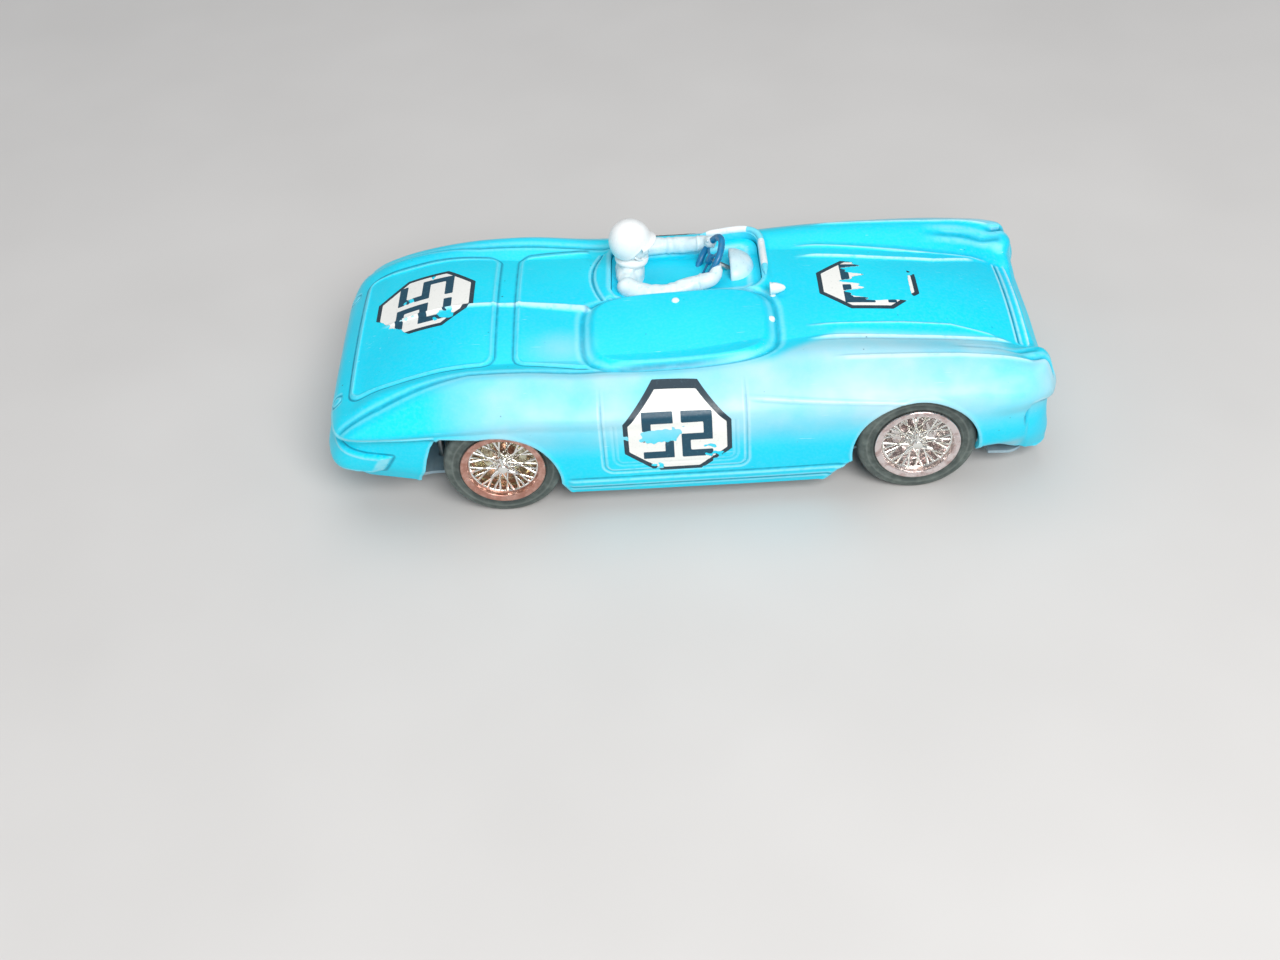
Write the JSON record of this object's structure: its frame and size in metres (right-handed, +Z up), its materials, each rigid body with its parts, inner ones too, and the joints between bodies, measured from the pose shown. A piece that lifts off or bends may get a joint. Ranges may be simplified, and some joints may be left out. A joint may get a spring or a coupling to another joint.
{
  "type": "friction-drive toy racing car",
  "caption": "Open two-seat toy racing car with a moulded shell, one driver, wire-spoked wheels and a friction flywheel motor on the rear axle.",
  "frame": {"origin": "middle of the car's length and width, on the ground under the tyres", "axes": "+X towards the nose, +Y to the car's left, +Z up"},
  "size_m": [0.1769, 0.076, 0.0506],
  "materials": {
    "body_plastic": "semi-gloss, worn",
    "tub_plastic": "semi-gloss",
    "tinplate": "satin",
    "driver_paint": "satin, worn paint",
    "helmet_paint": "gloss",
    "steering_plastic": "gloss",
    "dash_plastic": "semi-gloss",
    "mirror_plastic": "gloss",
    "tyre": "matte, dusty",
    "rim_plating": "worn plating",
    "spoke_chrome": "bright, pitted",
    "steel": "satin",
    "frame_steel": "zinc-plated",
    "gear_brass": "satin",
    "flywheel_iron": "oiled"
  },
  "bodies": {
    "car": {"body_shell": "body_plastic", "base_plate": "tinplate", "base_screws": "steel", "cockpit_tub": "tub_plastic", "driver_figure": "driver_paint", "driver_helmet": "helmet_paint", "steering_wheel": "steering_plastic", "steering_column": "steel", "dash_cowl": "dash_plastic", "cowl_mirror": "mirror_plastic", "front_axle_bracket": "frame_steel", "bracket_rivets": "steel", "motor_frame_left": "frame_steel", "motor_frame_right": "frame_steel", "frame_pillars": "steel"},
    "front_wheels": {"tyre_front_left": "tyre", "tyre_front_right": "tyre", "rim_front_left": "rim_plating", "rim_front_right": "rim_plating", "spokes_front_left": "spoke_chrome", "spokes_front_right": "spoke_chrome", "spinner_front_left": "spoke_chrome", "spinner_front_right": "spoke_chrome", "front_axle": "steel", "front_axle_spacers": "frame_steel"},
    "rear_wheels": {"tyre_rear_left": "tyre", "tyre_rear_right": "tyre", "rim_rear_left": "rim_plating", "rim_rear_right": "rim_plating", "spokes_rear_left": "spoke_chrome", "spokes_rear_right": "spoke_chrome", "spinner_rear_left": "spoke_chrome", "spinner_rear_right": "spoke_chrome", "rear_axle": "steel", "rear_axle_spacers": "frame_steel", "axle_gear": "gear_brass"},
    "counter_stage": {"countershaft": "steel", "counter_pinion": "gear_brass", "counter_gear": "gear_brass"},
    "flywheel_stage": {"flywheel_shaft": "steel", "flywheel_pinion": "gear_brass", "flywheel": "flywheel_iron"}
  },
  "joints": [
    {"name": "front_axle_spin", "type": "hinge", "parent": "car", "child": "front_wheels", "pos_m": [0.0553, 0, 0.0145], "axis": [0, 1, 0], "continuous": true},
    {"name": "rear_axle_spin", "type": "hinge", "parent": "car", "child": "rear_wheels", "pos_m": [-0.0447, 0, 0.0145], "axis": [0, 1, 0], "continuous": true},
    {"name": "countershaft_spin", "type": "hinge", "parent": "car", "child": "counter_stage", "pos_m": [-0.0361, 0, 0.02052], "axis": [0, 1, 0], "continuous": true},
    {"name": "flywheel_spin", "type": "hinge", "parent": "car", "child": "flywheel_stage", "pos_m": [-0.0264, 0, 0.0181], "axis": [0, 1, 0], "continuous": true}
  ],
  "couplings": [
    {"joint": "countershaft_spin", "follows": "rear_axle_spin", "ratio": -2.5},
    {"joint": "flywheel_spin", "follows": "rear_axle_spin", "ratio": 5.8333}
  ]
}
